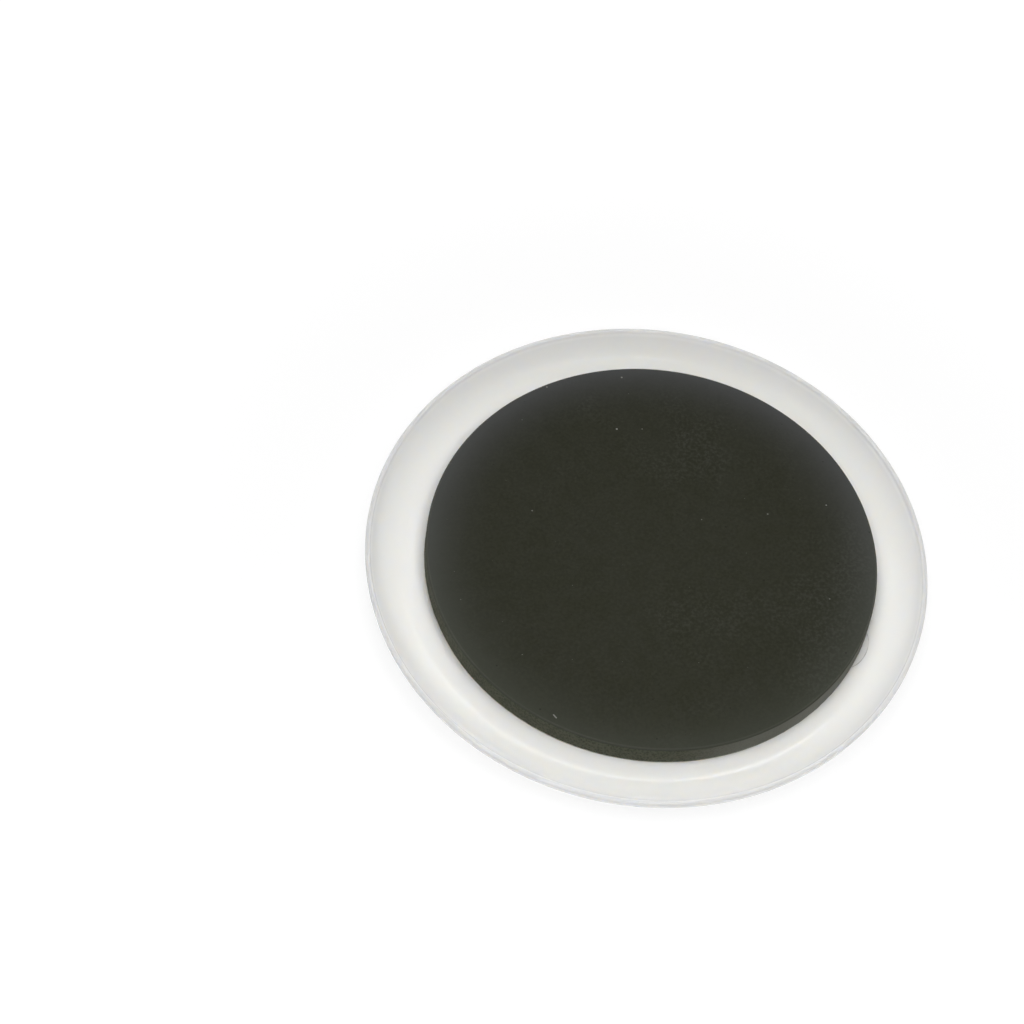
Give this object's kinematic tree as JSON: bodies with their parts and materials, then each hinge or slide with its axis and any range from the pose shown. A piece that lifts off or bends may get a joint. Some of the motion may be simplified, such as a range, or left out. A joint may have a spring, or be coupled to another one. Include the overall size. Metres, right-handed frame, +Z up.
{
  "type": "furniture slider",
  "caption": "Round furniture slider: white moulded saucer with a thin lip and a dark foam pad bonded inside, put under a furniture leg so that it glides over the floor.",
  "frame": {"origin": "centre of the glide face, the flat underside that slides on the floor", "axes": "+Z up out of the pad's face; +X towards the side that the pad was laid off centre to"},
  "size_m": [0.09, 0.09, 0.0059],
  "materials": {
    "shell_plastic": "satin white moulded polyethylene, slightly translucent",
    "adhesive": "dull pale adhesive film",
    "pad_foam": "matt olive-black closed-cell foam with a rougher cut edge"
  },
  "bodies": {
    "root": {"glide_shell": "shell_plastic", "adhesive_disc": "adhesive", "foam_pad": "pad_foam"}
  },
  "joints": []
}
